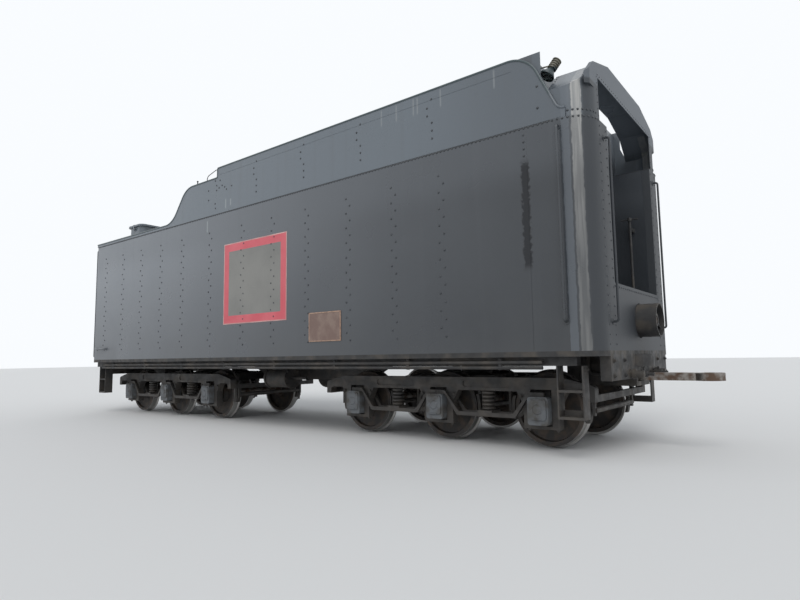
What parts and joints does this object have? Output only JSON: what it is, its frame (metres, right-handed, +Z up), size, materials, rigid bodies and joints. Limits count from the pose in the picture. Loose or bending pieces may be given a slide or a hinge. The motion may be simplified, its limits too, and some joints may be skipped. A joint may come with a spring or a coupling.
{
  "type": "steam locomotive tender",
  "caption": "Steam locomotive tender: riveted water tank, raised coal bunker with swept side sheets, front hood and six-wheel trucks.",
  "frame": {"origin": "on the floor under the middle of the object's bounding box", "axes": "+X towards the engine, +Y to the left, +Z up"},
  "size_m": [13.32, 3.258, 4.665],
  "materials": {
    "tank_black": "satin",
    "cast_black": "matte",
    "wheel_steel": "matte",
    "box_grey": "matte",
    "lamp_glass": "gloss",
    "worn_steel": "satin",
    "sign_red": "satin",
    "plaque_bronze": "satin"
  },
  "bodies": {
    "tender": {"air_pipe_ends": "tank_black", "air_reservoir": "tank_black", "backup_lamp": "tank_black", "brake_cylinder": "tank_black", "bunker_bulkhead": "tank_black", "bunker_side_left": "tank_black", "bunker_side_right": "tank_black", "bunker_ties": "tank_black", "coal_gate_bulkhead": "tank_black", "flood_lamp": "tank_black", "front_buffer": "cast_black", "front_hood": "tank_black", "front_wings": "tank_black", "hand_brake": "tank_black", "handrails": "tank_black", "lamp_lenses": "lamp_glass", "manhole_rims": "tank_black", "rear_curb": "tank_black", "rear_ladders": "tank_black", "side_pipes": "tank_black", "sill_steps": "tank_black", "stoker_trough": "tank_black", "uncoupling_lever": "tank_black", "underframe": "cast_black", "water_outlets": "tank_black", "water_tank": "tank_black"},
    "truck_rear": {"truck_frame_rear": "cast_black", "journal_boxes_rear": "box_grey", "equalizers_rear": "cast_black", "brakes_rear": "cast_black"},
    "wheelset_rear_1": {"wheels_rear_1": "wheel_steel", "axle_rear_1": "wheel_steel"},
    "wheelset_rear_2": {"wheels_rear_2": "wheel_steel", "axle_rear_2": "wheel_steel"},
    "wheelset_rear_3": {"wheels_rear_3": "wheel_steel", "axle_rear_3": "wheel_steel"},
    "truck_front": {"truck_frame_front": "cast_black", "journal_boxes_front": "box_grey", "equalizers_front": "cast_black", "brakes_front": "cast_black"},
    "wheelset_front_1": {"wheels_front_1": "wheel_steel", "axle_front_1": "wheel_steel"},
    "wheelset_front_2": {"wheels_front_2": "wheel_steel", "axle_front_2": "wheel_steel"},
    "wheelset_front_3": {"wheels_front_3": "wheel_steel", "axle_front_3": "wheel_steel"},
    "manhole_lid_right": {"manhole_lid_right": "tank_black"},
    "manhole_lid_left": {"manhole_lid_left": "tank_black"},
    "coal_gate_right": {"coal_gate_right": "tank_black"},
    "coal_gate_left": {"coal_gate_left": "tank_black"},
    "coupler": {"coupler_body": "cast_black"},
    "knuckle": {"coupler_knuckle": "cast_black"},
    "drawbar": {"drawbar": "cast_black"},
    "stoker_screw": {"stoker_screw": "worn_steel"}
  },
  "joints": [
    {"name": "truck_rear_swivel", "type": "hinge", "parent": "tender", "child": "truck_rear", "pos_m": [-3.385, 0, 1], "axis": [0, 0, 1], "range_deg": [-4, 4]},
    {"name": "wheelset_rear_1_roll", "type": "hinge", "parent": "truck_rear", "child": "wheelset_rear_1", "pos_m": [-4.855, 0, 0.4826], "axis": [0, 1, 0], "continuous": true},
    {"name": "wheelset_rear_2_roll", "type": "hinge", "parent": "truck_rear", "child": "wheelset_rear_2", "pos_m": [-3.385, 0, 0.4826], "axis": [0, 1, 0], "continuous": true},
    {"name": "wheelset_rear_3_roll", "type": "hinge", "parent": "truck_rear", "child": "wheelset_rear_3", "pos_m": [-1.915, 0, 0.4826], "axis": [0, 1, 0], "continuous": true},
    {"name": "truck_front_swivel", "type": "hinge", "parent": "tender", "child": "truck_front", "pos_m": [3.385, 0, 1], "axis": [0, 0, 1], "range_deg": [-4, 4]},
    {"name": "wheelset_front_1_roll", "type": "hinge", "parent": "truck_front", "child": "wheelset_front_1", "pos_m": [1.915, 0, 0.4826], "axis": [0, 1, 0], "continuous": true},
    {"name": "wheelset_front_2_roll", "type": "hinge", "parent": "truck_front", "child": "wheelset_front_2", "pos_m": [3.385, 0, 0.4826], "axis": [0, 1, 0], "continuous": true},
    {"name": "wheelset_front_3_roll", "type": "hinge", "parent": "truck_front", "child": "wheelset_front_3", "pos_m": [4.855, 0, 0.4826], "axis": [0, 1, 0], "continuous": true},
    {"name": "manhole_lid_right_hinge", "type": "hinge", "parent": "tender", "child": "manhole_lid_right", "pos_m": [-4.71, -0.555, 4.191], "axis": [-1, 0, 0], "range_deg": [0, 110]},
    {"name": "coal_gate_right_hinge", "type": "hinge", "parent": "tender", "child": "coal_gate_right", "pos_m": [5.146, -0.464, 2.57], "axis": [0, 0, -1], "range_deg": [0, 90]},
    {"name": "manhole_lid_left_hinge", "type": "hinge", "parent": "tender", "child": "manhole_lid_left", "pos_m": [-4.71, 0.555, 4.191], "axis": [1, 0, 0], "range_deg": [0, 110]},
    {"name": "coal_gate_left_hinge", "type": "hinge", "parent": "tender", "child": "coal_gate_left", "pos_m": [5.146, 0.464, 2.57], "axis": [0, 0, 1], "range_deg": [0, 90]},
    {"name": "coupler_swing", "type": "hinge", "parent": "tender", "child": "coupler", "pos_m": [-5.2, 0, 0.902], "axis": [0, 0, 1], "range_deg": [-4, 4]},
    {"name": "knuckle_open", "type": "hinge", "parent": "coupler", "child": "knuckle", "pos_m": [-6.42, -0.135, 0.902], "axis": [0, 0, 1], "range_deg": [0, 45]},
    {"name": "drawbar_swing", "type": "hinge", "parent": "tender", "child": "drawbar", "pos_m": [5.14, 0, 0.862], "axis": [0, 0, 1], "range_deg": [-4, 4]},
    {"name": "stoker_screw_turn", "type": "hinge", "parent": "tender", "child": "stoker_screw", "pos_m": [4, 0, 1.555], "axis": [1, 0, 0], "continuous": true}
  ]
}
